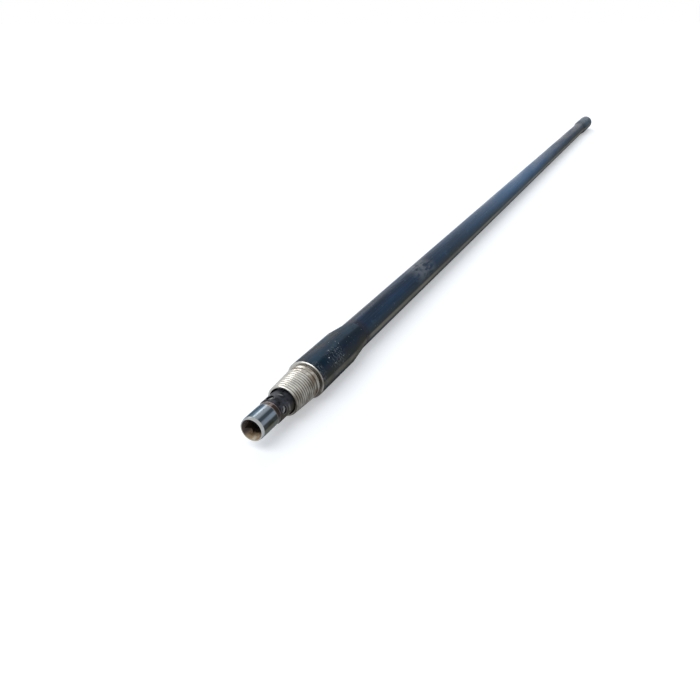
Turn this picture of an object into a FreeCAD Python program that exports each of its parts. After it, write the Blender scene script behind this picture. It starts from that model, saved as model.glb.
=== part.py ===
import FreeCAD, Part
import Sketcher
import math
import os
import re
from FreeCAD import Rotation, Vector

# Dual-member drill rod: an outer pipe with a tapered threaded pin at one end and a
# tapered box at the other, and a drive rod inside it that turns on its own.
# Millimetres. X runs along the rod from the pin end to the box end, Z is up, and the
# origin is the middle of the pin's shoulder face.

doc = FreeCAD.newDocument("DrillRod")
sheet = doc.addObject("Spreadsheet::Sheet", "Sizes")

# Driving dimensions: name, value, meaning.
sizeRows = [
    # Outer pipe
    ("rodLength", 3048, "pin shoulder to box face, the length one rod adds"),
    ("jointDia", 62, "outside of both tool joints"),
    ("tubeDia", 52, "outside of the tube"),
    ("tubeBore", 38, "bore of the tube"),
    ("pinBodyLength", 116, "pin shoulder to the start of the taper"),
    ("taperLength", 44, "taper from tool joint to tube"),
    ("weldNeck", 6, "plain neck at tube size, up to the weld"),
    ("shoulderBevel", 1.4, "bevel round both shoulder faces"),
    ("jointBore", 41.5, "bore at both ends, round the drive ends"),
    ("throatBore", 34, "narrow bore behind the pin's counterbore"),
    ("boreSpare", 6, "wide bore left behind the box ring at the end of its travel"),
    ("boreCone", 6, "length of the cone from wide bore to tube bore"),
    ("boreLand", 4, "tube-size bore between that cone and the weld"),
    ("mouthChamfer", 0.7, "chamfer at the mouth of a bore"),
    # Pin and its thread
    ("pinLength", 66, "shoulder to the pin's end face"),
    ("crestDia", 48.8, "thread crest at the pin's end face"),
    ("threadTaper", 0.111, "growth of the diameter for each mm of length"),
    ("threadPitch", 4.75, "crest to crest"),
    ("threadDepth", 1.5, "crest to root"),
    ("rootFlat", 1.2, "width of the flat root"),
    ("flankAngle", 30, "degrees between a flank and the square to the axis"),
    ("firstRoot", 3.5, "end face to the first root, on top of the rod"),
    ("noseChamfer", 1, "chamfer round the pin's end face"),
    ("threadGap", 0.25, "radial gap between a pin and the box it screws into"),
    ("reliefStart", 15.6, "shoulder to the thread side of the relief groove"),
    ("reliefEnd", 10.6, "shoulder to the shoulder side of the relief groove"),
    ("reliefDia", 51, "bottom of the relief groove"),
    ("pilotDia", 54, "plain pilot beside the shoulder"),
    ("undercutWidth", 3.6, "groove in the corner at the shoulder"),
    ("undercutDia", 51.6, "bottom of that groove"),
    ("boxRunout", 4, "box taper past the pin's end face"),
    # Drive rod
    ("driveTurn", -15, "degrees that the drive rod stands turned about X in its rest pose"),
    ("barDia", 28.6, "round bar"),
    ("socketReach", 144.7, "shoulder to the mouth of the drive socket"),
    ("socketDia", 36, "outside of the drive socket"),
    ("socketMouth", 31.4, "inside of the mouth"),
    ("socketRim", 34.2, "outside of the rim at the mouth"),
    ("rimBevel", 4.5, "length of the bevel round the mouth"),
    ("leadLength", 14, "cone that leads the hexagon in"),
    ("hexAcross", 25.4, "drive hexagon across its flats"),
    ("hexGap", 0.4, "socket wider than the hexagon, across the flats"),
    ("hexDepth", 40, "mouth to the end of the socket's flats"),
    ("seamReach", 103, "shoulder to the middle of the weld seam"),
    ("seamWidth", 8.8, "seam at its face"),
    ("seamDia", 35.6, "seam turned down to this"),
    ("seamRootDia", 30.6, "bottom of the seam"),
    ("collarDia", 38, "outside of the ported collar"),
    ("collarReach", 36, "shoulder to the collar's rear face"),
    ("collarBevel", 1.4, "bevel from the seam up to the collar"),
    ("portDia", 11, "flushing ports"),
    ("portReach", 89.5, "shoulder to the middle of the ports"),
    ("portCount", 4, "ports round the collar"),
    ("barReach", 81, "shoulder to the front end of the bar"),
    ("hexTip", 116, "box face to the tip of the drive hexagon"),
    ("hexLength", 50, "length of the drive hexagon"),
    ("tipBevel", 3, "bevel at the tip of the hexagon"),
    ("shankLength", 42, "round shank behind the hexagon"),
    ("shankDia", 36, "outside of the shank"),
    ("shankBevel", 1, "bevel between shank and hexagon"),
    ("shankWeb", 6, "solid metal left between hexagon and bar"),
    # Centralizers, rings, stop and pins
    ("guideLength", 20, "length of each centralizer"),
    ("guideBoreGap", 0.08, "radial running gap, bar in centralizer"),
    ("guideRimGap", 0.09, "radial sliding gap, centralizer in bore"),
    ("guideFlat", 34.6, "across opposite flats of a centralizer"),
    ("guideFlats", 4, "flats round a centralizer, which let the fluid by"),
    ("seatGap", 0.3, "gap left beside a piece that runs against another"),
    ("endPlay", 4, "the drive rod slides this far each way"),
    ("ringWidth", 1.5, "retaining ring, along the bar"),
    ("ringDia", 33.2, "outside of a retaining ring"),
    ("ringGroove", 1.2, "depth of its groove in the bar"),
    ("ringSplit", 7, "gap between a retaining ring's ends"),
    ("stopDia", 36.4, "stop collar behind the throat"),
    ("stopLength", 18, "length of the stop collar"),
    ("stopFlat", 31.6, "across the flats of the stop collar"),
    ("stopFlats", 2, "flats on the stop collar, which let the fluid by"),
    ("crossPinDia", 9, "spring pins across the bar"),
    ("crossPinWall", 2, "wall of a spring pin"),
    ("crossPinSlot", 1.6, "slot along a spring pin"),
    ("crossPinReach", 51, "shoulder to the pin through the collar"),
    ("pinSink", 0.8, "a pin's ends lie this far below the surface"),
    ("fitGap", 0.03, "radial gap of a driven fit"),
]
for row, (alias, amount, meaning) in enumerate(sizeRows, start=1):
    sheet.set(f"A{row}", meaning)
    sheet.set(f"B{row}", str(amount))
    sheet.setAlias(f"B{row}", alias)
doc.recompute()
aliases = {alias for alias, amount, meaning in sizeRows}

# Places along the rod that several pieces share, as formulas of the sizes above.
tubeStart = "(pinBodyLength + taperLength + weldNeck)"
pinGuideStart = "(seatGap - collarReach)"
pinRingStart = f"({pinGuideStart} + guideLength + seatGap)"
throatStart = f"({pinGuideStart} + guideLength + endPlay + seatGap)"
stopStart = f"({tubeStart} + endPlay + seatGap)"
shankStart = "(rodLength - hexTip - hexLength - shankLength)"
boxGuideStart = f"({shankStart} - seatGap - guideLength)"
boxRingStart = f"({boxGuideStart} - seatGap - ringWidth)"
boxBoreEnd = f"({boxRingStart} - endPlay - boreSpare)"
tubeEnd = f"({boxBoreEnd} - boreCone - boreLand)"
barLength = f"({shankStart} + shankLength - shankWeb + barReach)"
pinHole = "(crossPinDia + 2 * fitGap)"
snugBore = "(barDia / 2 + fitGap)"
hexBore = "((hexAcross + hexGap) / 2)"

# How far a cut reaches past the surface that it opens through.
cutSpare = "0.6"


def bound(formula):
    """The formula with each size named as a cell of the sheet."""
    return re.sub(r"[A-Za-z]\w*", lambda word: ("Sizes." if word[0] in aliases else "") + word[0], str(formula))


def amountOf(formula):
    """The formula's present value."""
    result = sheet.evalExpression(bound(formula))
    return float(getattr(result, "Value", result))


def originPart(body, role):
    """One of the body's own planes or axes."""
    return next(part for part in body.Origin.OriginFeatures if part.Role == role)


def newBody(name, startX="0"):
    """A body whose own zero lies at startX along the rod."""
    body = doc.addObject("PartDesign::Body", name)
    body.Label = name
    body.setExpression("Placement.Base.x", bound(startX))
    return body


def newDriveBody(name, startX):
    """A body of the drive rod, turned about the rod with the rest of it."""
    body = newBody(name, startX)
    body.Placement.Rotation = Rotation(Vector(1, 0, 0), amountOf("driveTurn"))
    body.setExpression("Placement.Rotation.Angle", bound("driveTurn"))
    return body


def newSketch(body, name, plane):
    sketch = body.newObject("Sketcher::SketchObject", name)
    sketch.AttachmentSupport = [(originPart(body, plane), "")]
    sketch.MapMode = "FlatFace"
    return sketch


def hold(sketch, kind, geometry, point, formula):
    """Tie a point's distance from the sketch's zero to a formula."""
    index = sketch.addConstraint(Sketcher.Constraint(kind, geometry, point, amountOf(formula)))
    sketch.setExpression(f"Constraints[{index}]", bound(formula))


def addOutline(sketch, corners):
    """A closed outline; each corner is a pair of formulas."""
    points = [Vector(amountOf(x), amountOf(y), 0) for x, y in corners]
    first = sketch.GeometryCount
    count = len(points)
    for number in range(count):
        sketch.addGeometry(Part.LineSegment(points[number], points[(number + 1) % count]))
    for number, (x, y) in enumerate(corners):
        before = first + (number - 1) % count
        sketch.addConstraint(Sketcher.Constraint("Coincident", before, 2, first + number, 1))
        hold(sketch, "DistanceX", first + number, 1, x)
        hold(sketch, "DistanceY", first + number, 1, y)


def addCircle(sketch, x, y, diameter):
    """A circle whose middle and size are formulas."""
    middle = Vector(amountOf(x), amountOf(y), 0)
    circle = sketch.addGeometry(Part.Circle(middle, Vector(0, 0, 1), amountOf(diameter) / 2))
    hold(sketch, "DistanceX", circle, 3, x)
    hold(sketch, "DistanceY", circle, 3, y)
    index = sketch.addConstraint(Sketcher.Constraint("Diameter", circle, amountOf(diameter)))
    sketch.setExpression(f"Constraints[{index}]", bound(diameter))


def needCut(body, before, name):
    """Stop if a cut took nothing away."""
    doc.recompute()
    if body.Shape.Volume >= before:
        raise RuntimeError(name + " cut nothing")


def turn(body, name, outlines, cut=False):
    """Turn outlines in the XZ plane about the X axis, as metal or as a cut."""
    sketch = newSketch(body, name + "Profile", "XZ_Plane")
    for corners in outlines:
        addOutline(sketch, corners)
    before = body.Shape.Volume if cut else 0
    feature = body.newObject("PartDesign::Groove" if cut else "PartDesign::Revolution", name)
    feature.Profile = sketch
    feature.ReferenceAxis = (originPart(body, "X_Axis"), [""])
    feature.Angle = 360
    doc.recompute()
    if cut:
        needCut(body, before, name)


def cutThrough(body, name, sketch, length=None, both=False):
    """Cut a sketch through its body on the plane's far side, or to a depth, or both ways."""
    before = body.Shape.Volume
    pocket = body.newObject("PartDesign::Pocket", name)
    pocket.Profile = sketch
    pocket.Reversed = not both
    pocket.Midplane = both
    if length is None:
        pocket.Type = "ThroughAll"
    else:
        pocket.setExpression("Length", bound(length))
    needCut(body, before, name)
    return pocket


def repeatRound(body, name, feature, count):
    """Repeat a feature evenly round the X axis."""
    pattern = body.newObject("PartDesign::PolarPattern", name)
    pattern.Originals = [feature]
    pattern.Axis = (originPart(body, "X_Axis"), [""])
    pattern.Angle = 360
    pattern.setExpression("Occurrences", bound(count))
    body.Tip = pattern
    doc.recompute()


def cutPinHole(body, middle):
    """Cross hole for a spring pin."""
    sketch = newSketch(body, "PinHoleCircle", "XY_Plane")
    addCircle(sketch, middle, "0", pinHole)
    cutThrough(body, "PinHole", sketch, both=True)


def cutFlats(body, across, outside, count):
    """Flats along the whole of a turned piece."""
    sketch = newSketch(body, "FlatOutline", "YZ_Plane")
    low = f"({across} / 2)"
    addOutline(sketch, [(low, f"0 - {outside}"), (outside, f"0 - {outside}"), (outside, outside), (low, outside)])
    flat = cutThrough(body, "Flat", sketch)
    repeatRound(body, "Flats", flat, count)


def hexagon(across):
    """Corners of a hexagon with a flat at the top and at the bottom."""
    corners = []
    for number in range(6):
        angle = math.radians(60 * number)
        radius = f"{across} / sqrt(3)"
        corners.append((f"{math.cos(angle):.9f} * {radius}", f"{math.sin(angle):.9f} * {radius}"))
    return corners


def crestAt(place):
    """Pin thread crest radius at a place measured from the shoulder."""
    return f"(crestDia / 2 + ({place} + pinLength) * threadTaper / 2)"


def makePinToolJoint():
    """Tool joint with the tapered pin: nose ring, thread, relief, pilot, shoulder, taper."""
    body = newBody("pin_tool_joint")
    outside = [
        ("0 - pinLength", "crestDia / 2"),
        ("0 - reliefEnd", crestAt("(0 - reliefEnd)")),
        ("0 - reliefEnd", "pilotDia / 2"),
        ("0 - undercutWidth", "pilotDia / 2"),
        ("0 - undercutWidth", "undercutDia / 2"),
        ("0", "undercutDia / 2"),
        ("0", "jointDia / 2 - shoulderBevel"),
        ("shoulderBevel", "jointDia / 2"),
        ("pinBodyLength", "jointDia / 2"),
        ("pinBodyLength + taperLength", "tubeDia / 2"),
        (tubeStart, "tubeDia / 2"),
    ]
    inside = [
        (tubeStart, "throatBore / 2"),
        (throatStart, "throatBore / 2"),
        (throatStart, "jointBore / 2"),
        ("mouthChamfer - pinLength", "jointBore / 2"),
        ("0 - pinLength", "jointBore / 2 + mouthChamfer"),
    ]
    turn(body, "PinBlank", [outside + inside])
    cutThread(body)
    reliefTop = f"({crestAt('(0 - reliefEnd)')} + {cutSpare})"
    chamferEnd = f"(noseChamfer + {cutSpare})"
    noseCorner = [
        (f"0 - pinLength - {cutSpare}", f"crestDia / 2 - {chamferEnd}"),
        (f"{chamferEnd} - pinLength", f"crestDia / 2 + {cutSpare}"),
        (f"0 - pinLength - {cutSpare}", f"crestDia / 2 + {cutSpare}"),
    ]
    relief = [
        ("0 - reliefStart", "reliefDia / 2"),
        ("0 - reliefEnd", "reliefDia / 2"),
        ("0 - reliefEnd", reliefTop),
        ("0 - reliefStart", reliefTop),
    ]
    turn(body, "NoseAndRelief", [noseCorner, relief], cut=True)
    return body


def cutThread(body):
    """Right-hand tapered thread: one root swept from ahead of the pin into the relief groove."""
    start = "(firstRoot - pinLength - 2 * threadPitch)"
    end = "(0 - (reliefStart + reliefEnd) / 2)"
    bottom = f"({crestAt(start)} - threadDepth)"
    bottomHalf = "(rootFlat / 2)"
    topHalf = f"({bottomHalf} + (threadDepth + {cutSpare}) * tan(flankAngle * 1 deg))"
    top = f"({bottom} + threadDepth + {cutSpare})"
    sketch = newSketch(body, "RootProfile", "XZ_Plane")
    addOutline(sketch, [
        (f"{start} - {topHalf}", top),
        (f"{start} - {bottomHalf}", bottom),
        (f"{start} + {bottomHalf}", bottom),
        (f"{start} + {topHalf}", top),
    ])
    before = body.Shape.Volume
    thread = body.newObject("PartDesign::SubtractiveHelix", "Thread")
    thread.Profile = sketch
    thread.ReferenceAxis = (originPart(body, "X_Axis"), [""])
    thread.Mode = "pitch-height-angle"
    thread.setExpression("Pitch", bound("threadPitch"))
    thread.setExpression("Height", bound(f"{end} - {start}"))
    thread.setExpression("Angle", bound("atan(threadTaper / 2)"))
    needCut(body, before, "Thread")


def makeOuterTube():
    """Plain tube, welded to the tool joint at each end."""
    body = newBody("outer_tube", tubeStart)
    length = f"{tubeEnd} - {tubeStart}"
    turn(body, "Tube", [[("0", "tubeBore / 2"), ("0", "tubeDia / 2"),
                         (length, "tubeDia / 2"), (length, "tubeBore / 2")]])
    return body


def makeBoxToolJoint():
    """Tool joint with the box: pilot bore, taper as wide as the thread's roots, wide bore."""
    body = newBody("box_tool_joint", "rodLength")
    threadEnd = "(0 - pinLength - boxRunout)"
    pilotBore = f"({crestAt('(0 - reliefStart)')} + threadGap)"
    outside = [
        (f"{tubeEnd} - rodLength", "tubeDia / 2"),
        (f"{tubeEnd} + weldNeck - rodLength", "tubeDia / 2"),
        (f"{tubeEnd} + weldNeck + taperLength - rodLength", "jointDia / 2"),
        ("0 - shoulderBevel", "jointDia / 2"),
        ("0", "jointDia / 2 - shoulderBevel"),
    ]
    inside = [
        ("0", f"{pilotBore} + mouthChamfer"),
        ("0 - mouthChamfer", pilotBore),
        ("0 - reliefStart", pilotBore),
        (threadEnd, f"{crestAt(threadEnd)} + threadGap"),
        (threadEnd, "jointBore / 2"),
        (f"{boxBoreEnd} - rodLength", "jointBore / 2"),
        (f"{boxBoreEnd} - boreCone - rodLength", "tubeBore / 2"),
        (f"{tubeEnd} - rodLength", "tubeBore / 2"),
    ]
    turn(body, "BoxBlank", [outside + inside])
    return body


def makeDriveSocket():
    """Drive socket: bevelled rim, lead-in cone and hexagon, bevelled behind for the weld."""
    body = newDriveBody("drive_socket", "0 - socketReach")
    rear = "(socketReach - seamReach)"
    turn(body, "SocketBlank", [[
        ("0", "socketMouth / 2"),
        ("0", "socketRim / 2"),
        ("rimBevel", "socketDia / 2"),
        (f"{rear} - seamWidth / 2", "socketDia / 2"),
        (f"{rear} - seamWidth / 2", "seamDia / 2"),
        (rear, "seamRootDia / 2"),
        (rear, hexBore),
        ("leadLength", hexBore),
    ]])
    sketch = newSketch(body, "SocketHexagon", "YZ_Plane")
    addOutline(sketch, hexagon("(hexAcross + hexGap)"))
    cutThrough(body, "SocketFlats", sketch, "hexDepth")
    return body


def makeWeldSeam():
    """Weld metal between drive socket and collar, turned down after welding."""
    body = newDriveBody("weld_seam", "0 - seamReach")
    turn(body, "Seam", [[
        ("0 - seamWidth / 2", "seamDia / 2"),
        ("seamWidth / 2", "seamDia / 2"),
        ("0", "seamRootDia / 2"),
    ]])
    return body


def makePortedCollar():
    """Collar with flushing ports round the chamber behind the hexagon; the bar seats in its rear."""
    body = newDriveBody("ported_collar", "0 - collarReach")
    front = "(collarReach - seamReach)"
    chamberEnd = "(collarReach - barReach - seatGap)"
    turn(body, "CollarBlank", [[
        (front, hexBore),
        (front, "seamRootDia / 2"),
        (f"{front} + seamWidth / 2", "seamDia / 2"),
        (f"{front} + seamWidth / 2 + collarBevel", "collarDia / 2"),
        ("0", "collarDia / 2"),
        ("0", snugBore),
        (chamberEnd, snugBore),
        (chamberEnd, hexBore),
    ]])
    sketch = newSketch(body, "PortCircle", "XY_Plane")
    addCircle(sketch, "collarReach - portReach", "0", "portDia")
    port = cutThrough(body, "Port", sketch)
    repeatRound(body, "Ports", port, "portCount")
    cutPinHole(body, "collarReach - crossPinReach")
    return body


def makeInnerBar():
    """Round bar between the two drive ends, with ring grooves and cross holes."""
    body = newDriveBody("inner_bar", "0 - barReach")
    sketch = newSketch(body, "BarCircle", "YZ_Plane")
    addCircle(sketch, "0", "0", "barDia")
    pad = body.newObject("PartDesign::Pad", "Bar")
    pad.Profile = sketch
    pad.setExpression("Length", bound(barLength))
    doc.recompute()
    grooves = []
    bottom = "(barDia / 2 - ringGroove)"
    top = f"(barDia / 2 + {cutSpare})"
    for start in (pinRingStart, boxRingStart):
        left = f"({start} + barReach - fitGap)"
        right = f"({start} + barReach + ringWidth + fitGap)"
        grooves.append([(left, bottom), (right, bottom), (right, top), (left, top)])
    turn(body, "RingGrooves", grooves, cut=True)
    sketch = newSketch(body, "PinHoleCircles", "XY_Plane")
    for middle in pinPlaces.values():
        addCircle(sketch, f"{middle} + barReach", "0", pinHole)
    cutThrough(body, "PinHoles", sketch, both=True)
    return body


def makeHexEnd():
    """Male end: hexagon with a bevelled tip, and a round shank that the bar seats in."""
    body = newDriveBody("hex_drive_end", shankStart)
    socketEnd = "(shankLength - shankWeb + seatGap)"
    turn(body, "Shank", [[
        ("0", snugBore),
        ("0", "shankDia / 2"),
        ("shankLength - shankBevel", "shankDia / 2"),
        ("shankLength", "shankDia / 2 - shankBevel"),
        ("shankLength", "0"),
        (socketEnd, "0"),
        (socketEnd, snugBore),
    ]])
    sketch = newSketch(body, "DriveHexagon", "YZ_Plane")
    sketch.setExpression("AttachmentOffset.Base.z", bound("shankLength - shankWeb / 2"))
    addOutline(sketch, hexagon("hexAcross"))
    pad = body.newObject("PartDesign::Pad", "DriveFlats")
    pad.Profile = sketch
    pad.setExpression("Length", bound("hexLength + shankWeb / 2"))
    doc.recompute()
    tip = "(shankLength + hexLength)"
    tipRadius = "(hexAcross / 2 - tipBevel / 2)"
    spare = f"(tipBevel + {cutSpare})"
    turn(body, "TipBevel", [[
        (f"{tip} + {cutSpare}", f"{tipRadius} - {cutSpare}"),
        (f"{tip} - {spare}", f"{tipRadius} + {spare}"),
        (f"{tip} + {cutSpare}", f"{tipRadius} + {spare}"),
    ]], cut=True)
    cutPinHole(body, f"{pinPlaces['shank_spring_pin']} - {shankStart}")
    return body


def makeCentralizer(name, start):
    """Bush that keeps the bar central; its flats let the fluid by."""
    body = newBody(name, start)
    rim = "(jointBore / 2 - guideRimGap)"
    bore = "(barDia / 2 + guideBoreGap)"
    turn(body, "Bush", [[("0", bore), ("0", rim), ("guideLength", rim), ("guideLength", bore)]])
    cutFlats(body, "guideFlat", "jointBore", "guideFlats")
    return body


def makeRetainingRing(name, start):
    """Split ring in a groove of the bar."""
    body = newDriveBody(name, start)
    bottom = "(barDia / 2 - ringGroove + fitGap)"
    turn(body, "Ring", [[("0", bottom), ("0", "ringDia / 2"), ("ringWidth", "ringDia / 2"), ("ringWidth", bottom)]])
    sketch = newSketch(body, "SplitOutline", "YZ_Plane")
    half = "(ringSplit / 2)"
    addOutline(sketch, [(f"0 - {half}", "0"), (half, "0"), (half, "ringDia"), (f"0 - {half}", "ringDia")])
    cutThrough(body, "Split", sketch)
    return body


def makeStopCollar():
    """Collar shrunk on the bar behind the throat, which ends the drive rod's travel forward."""
    body = newDriveBody("stop_collar", stopStart)
    turn(body, "Stop", [[("0", snugBore), ("0", "stopDia / 2"),
                         ("stopLength", "stopDia / 2"), ("stopLength", snugBore)]])
    cutFlats(body, "stopFlat", "stopDia", "stopFlats")
    return body


def makeSpringPin(name, outside):
    """Rolled spring pin across the bar: a tube with a slot along it."""
    body = newDriveBody(name, pinPlaces[name])
    length = f"({outside} - 2 * pinSink)"
    sketch = newSketch(body, "PinCircles", "XY_Plane")
    addCircle(sketch, "0", "0", "crossPinDia")
    addCircle(sketch, "0", "0", "crossPinDia - 2 * crossPinWall")
    pad = body.newObject("PartDesign::Pad", "Pin")
    pad.Profile = sketch
    pad.Midplane = True
    pad.setExpression("Length", bound(length))
    doc.recompute()
    sketch = newSketch(body, "SlotOutline", "XY_Plane")
    half = "(crossPinSlot / 2)"
    addOutline(sketch, [("0", f"0 - {half}"), ("crossPinDia", f"0 - {half}"), ("crossPinDia", half), ("0", half)])
    cutThrough(body, "Slot", sketch, both=True)
    return body


pinPlaces = {
    "collar_spring_pin": "(0 - crossPinReach)",
    "shank_spring_pin": f"({shankStart} + (shankLength - shankWeb) / 2)",
}

nodes = [
    makePinToolJoint(),
    makeOuterTube(),
    makeBoxToolJoint(),
    makeCentralizer("pin_centralizer", pinGuideStart),
    makeCentralizer("box_centralizer", boxGuideStart),
    makeDriveSocket(),
    makeWeldSeam(),
    makePortedCollar(),
    makeInnerBar(),
    makeHexEnd(),
    makeRetainingRing("pin_retaining_ring", pinRingStart),
    makeRetainingRing("box_retaining_ring", boxRingStart),
    makeStopCollar(),
    makeSpringPin("collar_spring_pin", "collarDia"),
    makeSpringPin("shank_spring_pin", "shankDia"),
]
doc.recompute()

for item in doc.Objects:
    if "Invalid" in item.State or "Error" in item.State:
        raise RuntimeError(f"{item.Label} failed: {item.State}")
for node in nodes:
    if node.Shape.isNull() or not node.Shape.isValid():
        raise RuntimeError(f"{node.Label} has no valid shape")

os.makedirs("parts", exist_ok=True)
for node in nodes:
    node.Shape.exportStep(f"parts/{node.Label}.step")
    print(f"{node.Label}: {len(node.Shape.Solids)} solids, {node.Shape.Volume / 1000:.1f} cm3")
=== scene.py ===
import bmesh
import bpy
import math
from mathutils import Matrix, Vector


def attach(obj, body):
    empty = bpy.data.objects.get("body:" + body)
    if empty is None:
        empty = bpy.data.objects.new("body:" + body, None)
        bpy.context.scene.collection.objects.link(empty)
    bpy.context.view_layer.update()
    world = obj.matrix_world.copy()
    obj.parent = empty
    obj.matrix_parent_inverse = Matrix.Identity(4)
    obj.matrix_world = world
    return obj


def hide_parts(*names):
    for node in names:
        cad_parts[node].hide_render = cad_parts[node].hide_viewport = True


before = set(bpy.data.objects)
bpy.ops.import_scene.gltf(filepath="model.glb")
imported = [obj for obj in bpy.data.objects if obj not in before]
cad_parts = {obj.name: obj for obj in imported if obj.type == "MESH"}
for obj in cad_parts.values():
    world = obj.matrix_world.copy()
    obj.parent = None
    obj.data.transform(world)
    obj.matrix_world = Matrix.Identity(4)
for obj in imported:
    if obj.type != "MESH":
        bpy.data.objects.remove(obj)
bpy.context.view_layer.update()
mm = 0.001

# Places along the rod in millimetres from the pin's shoulder, the same as the solids
rod = {
    "length": 3048,
    "tubeStart": 166,
    "tubeEnd": 2797.9,
    "driveTurn": math.radians(-15),  # how far the drive rod stands turned
    "portPlace": -89.5,
}

# Thread of pin and box, from the plane that both share
thread = {
    "faceRadius": 24.4,
    "pinLength": 66,
    "slope": 0.0555,  # growth of the radius for each mm
    "pitch": 4.75,
    "depth": 1.5,
    "rootFlat": 1.2,
    "flank": math.radians(30),
    "firstRoot": 3.5,
    "softEdge": 0.22,
    "segments": 120,
    "boxGap": 0.25,
}

# Outlines are in millimetres; these distances are in metres, as the meshes are
near = {
    "doubles": 1e-6,
    "threadDoubles": 2e-6,
    "ring": 2e-6,
    "cut": 1e-7,
}

# How the corners of an outline are eased
rounding = {
    "straight": math.radians(172),  # a flatter corner stays as it is
    "reach": 0.45,  # the most that a round takes of the lines beside it
    "steps": 3,
}


# Mesh helpers

# The same outline with every corner rounded by short chords
def softened(points, radius):
    result = [Vector(points[0])]
    for before, corner, after in zip(points, points[1:], points[2:]):
        corner = Vector(corner)
        back = Vector(before) - corner
        ahead = Vector(after) - corner
        turn = back.angle(ahead)
        if turn > rounding["straight"]:
            result.append(corner)
            continue
        reach = min(radius / math.tan(turn / 2), back.length * rounding["reach"],
                    ahead.length * rounding["reach"])
        start = corner + back.normalized() * reach
        end = corner + ahead.normalized() * reach
        for step in range(rounding["steps"] + 1):
            share = step / rounding["steps"]
            result.append(start.lerp(corner, share).lerp(corner.lerp(end, share), share))
    result.append(Vector(points[-1]))
    return result


def mergeDoubles(bm, distance=near["doubles"]):
    bmesh.ops.remove_doubles(bm, verts=bm.verts, dist=distance)


# A line of edges from pairs of place along the rod and radius
def addOutline(bm, points, closed=False):
    verts = [bm.verts.new((x * mm, 0, r * mm)) for x, r in points]
    edges = [bm.edges.new(pair) for pair in zip(verts, verts[1:])]
    if closed:
        edges.append(bm.edges.new((verts[-1], verts[0])))
    return verts + edges


def turnOutline(bm, points, segments, closed=False):
    outline = addOutline(bm, points, closed)
    bmesh.ops.spin(bm, geom=outline, cent=(0, 0, 0), axis=(1, 0, 0), angle=math.tau, steps=segments,
                   use_merge=True)
    mergeDoubles(bm)


# Distance from the rod's axis in millimetres
def radiusOf(point):
    return math.hypot(point.y, point.z) / mm


def makeMesh(bm):
    bmesh.ops.recalc_face_normals(bm, faces=bm.faces)
    mesh = bpy.data.meshes.new("work")
    bm.to_mesh(mesh)
    bm.free()
    return mesh


def finishPiece(bm, name, body, node, materials, sharpAngle):
    mergeDoubles(bm)
    mesh = makeMesh(bm)
    mesh.name = name
    mesh.shade_smooth()
    mesh.set_sharp_from_angle(angle=sharpAngle)
    mesh.materials.clear()
    for material in materials:
        mesh.materials.append(material)
    piece = bpy.data.objects.new(name, mesh)
    bpy.context.scene.collection.objects.link(piece)
    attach(piece, body)
    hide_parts(node)
    print(name, len(mesh.polygons), "faces")
    return piece


# Take a closed cutter out of a closed shape
def cutAway(bm, cutter):
    meshes = [makeMesh(bm), makeMesh(cutter)]
    base, tool = [bpy.data.objects.new("work", mesh) for mesh in meshes]
    for item in (base, tool):
        bpy.context.scene.collection.objects.link(item)
    cut = base.modifiers.new("cut", "BOOLEAN")
    cut.object = tool
    cut.operation = "DIFFERENCE"
    cut.solver = "EXACT"
    result = bmesh.new()
    result.from_mesh(base.evaluated_get(bpy.context.evaluated_depsgraph_get()).to_mesh())
    for item in (base, tool):
        bpy.data.objects.remove(item)
    for mesh in meshes:
        bpy.data.meshes.remove(mesh)
    return result


# Node helpers

def newMaterial(name, metallic, ior=1.45):
    material = bpy.data.materials.new(name)
    material.use_nodes = True
    tree = material.node_tree
    shader = tree.nodes["Principled BSDF"]
    shader.inputs["Metallic"].default_value = metallic
    shader.inputs["IOR"].default_value = ior
    return material, tree, shader


# A node whose inputs are given as values, or as sockets to link
def add(tree, kind, inputs, **settings):
    node = tree.nodes.new("ShaderNode" + kind)
    for key, value in settings.items():
        setattr(node, key, value)
    for key, value in inputs.items():
        if isinstance(value, bpy.types.NodeSocket):
            tree.links.new(value, node.inputs[key])
        else:
            node.inputs[key].default_value = value
    return node


# 0 up to low and 1 from high on, with a soft change between
def fade(tree, value, low, high):
    return add(tree, "MapRange", {"Value": value, "From Min": low, "From Max": high},
               interpolation_type="SMOOTHSTEP").outputs["Result"]


# A value of 0 to 1 spread over low to high
def scaled(tree, value, low, high):
    return add(tree, "MapRange", {"Value": value, "To Min": low, "To Max": high}).outputs["Result"]


def calc(tree, operation, first, second):
    return add(tree, "Math", {0: first, 1: second}, operation=operation).outputs[0]


def times(tree, first, second):
    return calc(tree, "MULTIPLY", first, second)


def plus(tree, first, second):
    return calc(tree, "ADD", first, second)


def larger(tree, first, second):
    return calc(tree, "MAXIMUM", first, second)


def mix(tree, share, first, second):
    return add(tree, "Mix", {"Factor": share, 6: first, 7: second}, data_type="RGBA").outputs[2]


# A tone over a color, as strong as the share where the mask is 1
def laid(tree, color, mask, share, tone):
    return mix(tree, times(tree, mask, share), color, tone)


def coordinates(tree):
    return add(tree, "TexCoord", {}).outputs["Object"]


# Noise over the rod, spread over 0 to 1; stretch is along X, Y and Z
def noise(tree, stretch, scale, detail, low=0.35, high=0.65):
    mapped = add(tree, "Mapping", {"Vector": coordinates(tree), "Scale": stretch})
    texture = add(tree, "TexNoise", {"Vector": mapped.outputs[0], "Scale": scale, "Detail": detail})
    return fade(tree, texture.outputs["Fac"], low, high)


# Place along the rod in millimetres
def along(tree):
    where = add(tree, "SeparateXYZ", {0: coordinates(tree)})
    return times(tree, where.outputs[0], 1 / mm)


# The way out from the rod's axis, square across it
def outFromAxis(tree):
    where = add(tree, "SeparateXYZ", {0: coordinates(tree)})
    return add(tree, "CombineXYZ", {1: where.outputs[1], 2: where.outputs[2]}).outputs[0]


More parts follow.
